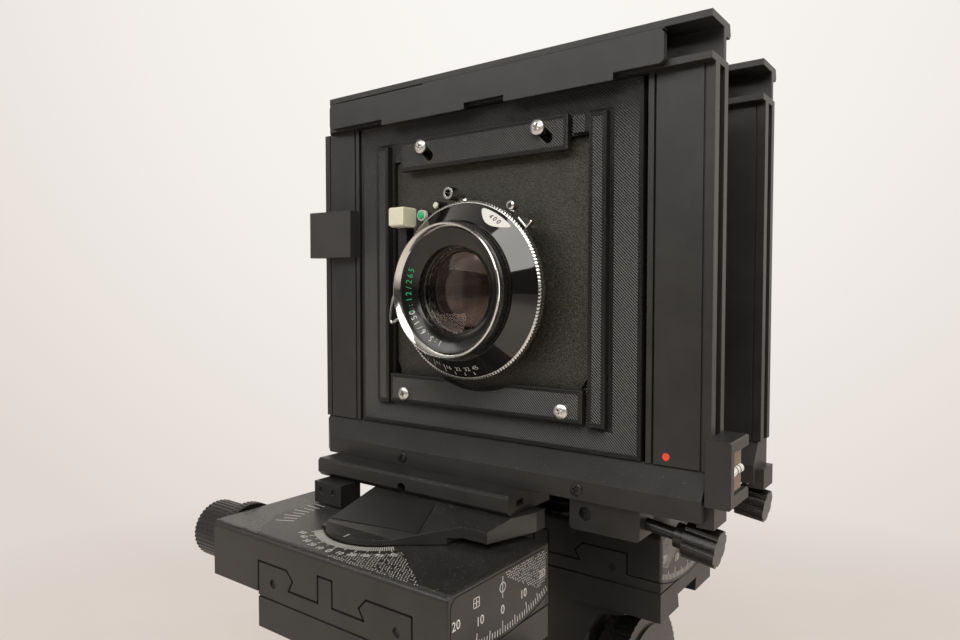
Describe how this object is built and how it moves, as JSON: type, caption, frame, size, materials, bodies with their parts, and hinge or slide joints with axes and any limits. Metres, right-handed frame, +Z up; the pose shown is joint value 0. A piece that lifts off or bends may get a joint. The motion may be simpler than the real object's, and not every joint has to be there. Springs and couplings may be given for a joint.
{
  "type": "large format view camera",
  "caption": "Monorail large format view camera: lens board and leaf shutter on a front frame, pleated bellows, rear frame with ground glass, geared rise, shift, tilt and swing.",
  "frame": {"origin": "centre of the tripod socket in the rail clamp's base", "axes": "+Z up, +X to the right seen from the lens side, -Y towards the subject along the rail"},
  "size_m": [0.2184, 0.3, 0.423],
  "materials": {
    "black_coat": "fine black powder coat, low sheen",
    "black_satin": "smooth satin black",
    "steel": "bright zinc",
    "chrome": "polished",
    "printed_black": "3-D printed, fine diagonal lines",
    "knob_black": "moulded black",
    "board_olive": "fine crinkle, olive black",
    "bellows_cloth": "black coated cloth",
    "lens_glass": "coated, amber to pink reflections",
    "screen_glass": "ground",
    "ivory": "ivory",
    "rail_metal": "black anodised"
  },
  "bodies": {
    "base": {"rail_clamp": "black_coat"},
    "clamp_screw": {"rail_clamp_knob": "knob_black"},
    "rail": {"rail": "rail_metal"},
    "front_carriage": {"front_carriage": "black_coat", "front_column_post": "black_satin"},
    "front_focus": {"front_focus_knob": "knob_black"},
    "front_head": {"front_column_head": "black_coat"},
    "front_rise": {"front_rise_knob": "knob_black"},
    "front_shift": {"front_shift_knob": "knob_black"},
    "front_cradle": {"front_shift_cradle": "black_coat"},
    "front_block": {"front_tilt_block": "black_coat"},
    "front_tilt_drive": {"front_tilt_knob": "knob_black"},
    "front_swing_drive": {"front_swing_knob": "knob_black"},
    "front_standard": {"front_saddle": "black_coat", "front_carrier_bar": "black_coat", "front_frame_sill": "black_coat", "front_frame_left": "black_coat", "front_frame_right": "black_coat", "front_frame_top": "black_coat", "adapter_board": "printed_black", "bottom_clamp": "printed_black", "board_screws": "steel", "lens_board": "board_olive", "shutter_body": "black_satin", "front_cell": "chrome", "rear_cell": "black_satin", "lens_glass": "lens_glass", "cable_socket": "chrome", "sync_block": "ivory", "spirit_level": "black_coat", "hood_clip": "black_coat", "bellows": "bellows_cloth"},
    "front_lock": {"front_lock_slide": "black_coat"},
    "front_frame_screw": {"front_frame_clamp_knob": "knob_black"},
    "rear_carriage": {"rear_carriage": "black_coat", "rear_column_post": "black_satin"},
    "rear_focus": {"rear_focus_knob": "knob_black"},
    "rear_head": {"rear_column_head": "black_coat"},
    "rear_rise": {"rear_rise_knob": "knob_black"},
    "rear_shift": {"rear_shift_knob": "knob_black"},
    "rear_cradle": {"rear_shift_cradle": "black_coat"},
    "rear_block": {"rear_tilt_block": "black_coat"},
    "rear_tilt_drive": {"rear_tilt_knob": "knob_black"},
    "rear_swing_drive": {"rear_swing_knob": "knob_black"},
    "rear_standard": {"rear_saddle": "black_coat", "rear_carrier_bar": "black_coat", "rear_frame_sill": "black_coat", "rear_frame_left": "black_coat", "rear_frame_right": "black_coat", "rear_frame_top": "black_coat"},
    "rear_lock": {"rear_lock_slide": "black_coat"},
    "rear_frame_screw": {"rear_frame_clamp_knob": "knob_black"},
    "top_clamp": {"top_clamp": "printed_black"},
    "speed_ring": {"speed_ring": "black_satin"},
    "cocking": {"cocking_lever": "chrome"},
    "release": {"release_lever": "chrome"},
    "aperture": {"aperture_lever": "chrome"},
    "back": {"back_frame": "black_coat", "ground_glass": "screen_glass", "back_springs": "chrome"}
  },
  "joints": [
    {"name": "rail_clamp_screw", "type": "hinge", "parent": "base", "child": "clamp_screw", "pos_m": [-0.03, 0, 0.052], "axis": [-1, 0, 0], "range_deg": [0, 360]},
    {"name": "rail_slide", "type": "slide", "parent": "base", "child": "rail", "axis": [0, 1, 0], "range_m": [-0.008, 0.008]},
    {"name": "front_focus", "type": "slide", "parent": "rail", "child": "front_carriage", "axis": [0, 1, 0], "range_m": [-0.07, 0.008], "deforming": ["bellows"]},
    {"name": "front_focus_turn", "type": "hinge", "parent": "front_carriage", "child": "front_focus", "pos_m": [0.04, -0.051, 0.0312], "axis": [1, 0, 0], "range_deg": [-810, 95]},
    {"name": "front_rise", "type": "slide", "parent": "front_carriage", "child": "front_head", "axis": [0, 0, 1], "range_m": [-0.022, 0.04], "deforming": ["bellows"]},
    {"name": "front_rise_turn", "type": "hinge", "parent": "front_head", "child": "front_rise", "pos_m": [0.038, -0.051, 0.1524], "axis": [1, 0, 0], "range_deg": [-130, 235]},
    {"name": "front_shift", "type": "slide", "parent": "front_head", "child": "front_cradle", "axis": [1, 0, 0], "range_m": [-0.0174, 0.0726], "deforming": ["bellows"]},
    {"name": "front_shift_turn", "type": "hinge", "parent": "front_head", "child": "front_shift", "pos_m": [-0.034, -0.051, 0.166], "axis": [-1, 0, 0], "range_deg": [-170, 700]},
    {"name": "front_tilt", "type": "hinge", "parent": "front_cradle", "child": "front_block", "pos_m": [-0.0276, -0.051, 0.304], "axis": [1, 0, 0], "range_deg": [-20, 20], "deforming": ["bellows"]},
    {"name": "front_tilt_turn", "type": "hinge", "parent": "front_block", "child": "front_tilt_drive", "pos_m": [-0.0936, -0.0615, 0.225], "axis": [1, 0, 0], "range_deg": [-245, 245]},
    {"name": "front_swing", "type": "hinge", "parent": "front_block", "child": "front_standard", "pos_m": [-0.0276, -0.044, 0.2383], "axis": [0, 0, 1], "range_deg": [-18, 18], "deforming": ["bellows"]},
    {"name": "front_swing_turn", "type": "hinge", "parent": "front_block", "child": "front_swing_drive", "pos_m": [-0.1016, -0.0615, 0.225], "axis": [1, 0, 0], "range_deg": [-185, 185]},
    {"name": "front_slide_lock", "type": "slide", "parent": "front_standard", "child": "front_lock", "axis": [0, 0, 1], "range_m": [0, 0.006]},
    {"name": "front_frame_screw_turn", "type": "hinge", "parent": "front_standard", "child": "front_frame_screw", "pos_m": [0.07, -0.0105, 0.2494], "axis": [0.989, 0, -0.148], "range_deg": [-180, 360]},
    {"name": "rear_focus", "type": "slide", "parent": "rail", "child": "rear_carriage", "axis": [0, 1, 0], "range_m": [-0.008, 0.07], "deforming": ["bellows"]},
    {"name": "rear_focus_turn", "type": "hinge", "parent": "rear_carriage", "child": "rear_focus", "pos_m": [0.04, 0.051, 0.0312], "axis": [1, 0, 0], "range_deg": [-95, 810]},
    {"name": "rear_rise", "type": "slide", "parent": "rear_carriage", "child": "rear_head", "axis": [0, 0, 1], "range_m": [-0.022, 0.04], "deforming": ["bellows"]},
    {"name": "rear_rise_turn", "type": "hinge", "parent": "rear_head", "child": "rear_rise", "pos_m": [0.038, 0.051, 0.1524], "axis": [1, 0, 0], "range_deg": [-130, 235]},
    {"name": "rear_shift", "type": "slide", "parent": "rear_head", "child": "rear_cradle", "axis": [1, 0, 0], "range_m": [-0.045, 0.045], "deforming": ["bellows"]},
    {"name": "rear_shift_turn", "type": "hinge", "parent": "rear_head", "child": "rear_shift", "pos_m": [-0.034, 0.051, 0.166], "axis": [-1, 0, 0], "range_deg": [-435, 435]},
    {"name": "rear_tilt", "type": "hinge", "parent": "rear_cradle", "child": "rear_block", "pos_m": [0, 0.051, 0.3002], "axis": [1, 0, 0], "range_deg": [-20, 20], "deforming": ["bellows"]},
    {"name": "rear_tilt_turn", "type": "hinge", "parent": "rear_block", "child": "rear_tilt_drive", "pos_m": [-0.066, 0.0615, 0.2212], "axis": [1, 0, 0], "range_deg": [-245, 245]},
    {"name": "rear_swing", "type": "hinge", "parent": "rear_block", "child": "rear_standard", "pos_m": [0, 0.051, 0.2345], "axis": [0, 0, 1], "range_deg": [-18, 18], "deforming": ["bellows"]},
    {"name": "rear_swing_turn", "type": "hinge", "parent": "rear_block", "child": "rear_swing_drive", "pos_m": [-0.074, 0.0615, 0.2212], "axis": [1, 0, 0], "range_deg": [-185, 185]},
    {"name": "rear_slide_lock", "type": "slide", "parent": "rear_standard", "child": "rear_lock", "axis": [0, 0, 1], "range_m": [0, 0.006]},
    {"name": "rear_frame_screw_turn", "type": "hinge", "parent": "rear_standard", "child": "rear_frame_screw", "pos_m": [0.07, 0.0495, 0.2494], "axis": [0.989, 0, -0.148], "range_deg": [-180, 360]},
    {"name": "board_clamp_slide", "type": "slide", "parent": "front_standard", "child": "top_clamp", "axis": [-0.7071, 0, 0.7071], "range_m": [0, 0.006]},
    {"name": "speed_ring_turn", "type": "hinge", "parent": "front_standard", "child": "speed_ring", "pos_m": [0, -0.0155, 0.333], "axis": [0, -1, 0], "range_deg": [-60, 90]},
    {"name": "cocking_turn", "type": "hinge", "parent": "front_standard", "child": "cocking", "pos_m": [0, -0.0155, 0.333], "axis": [0, -1, 0], "range_deg": [-38, 0]},
    {"name": "release_turn", "type": "hinge", "parent": "front_standard", "child": "release", "pos_m": [0, -0.0155, 0.333], "axis": [0, -1, 0], "range_deg": [0, 9], "stiffness_Nm_per_rad": 0.02},
    {"name": "aperture_turn", "type": "hinge", "parent": "front_standard", "child": "aperture", "pos_m": [0, -0.0155, 0.333], "axis": [0, -1, 0], "range_deg": [0, 50]},
    {"name": "back_spring", "type": "slide", "parent": "rear_standard", "child": "back", "axis": [0, 1, 0], "range_m": [0, 0.008], "stiffness_N_per_m": 900, "springref_m": -0.002}
  ],
  "couplings": [
    {"joint": "front_focus_turn", "follows": "front_focus", "rad_per_m": 200},
    {"joint": "front_rise_turn", "follows": "front_rise", "rad_per_m": 100},
    {"joint": "front_shift_turn", "follows": "front_shift", "rad_per_m": 167},
    {"joint": "front_tilt_turn", "follows": "front_tilt", "ratio": -12},
    {"joint": "front_swing_turn", "follows": "front_swing", "ratio": 10},
    {"joint": "rear_focus_turn", "follows": "rear_focus", "rad_per_m": 200},
    {"joint": "rear_rise_turn", "follows": "rear_rise", "rad_per_m": 100},
    {"joint": "rear_shift_turn", "follows": "rear_shift", "rad_per_m": 167},
    {"joint": "rear_tilt_turn", "follows": "rear_tilt", "ratio": -12},
    {"joint": "rear_swing_turn", "follows": "rear_swing", "ratio": 10}
  ]
}
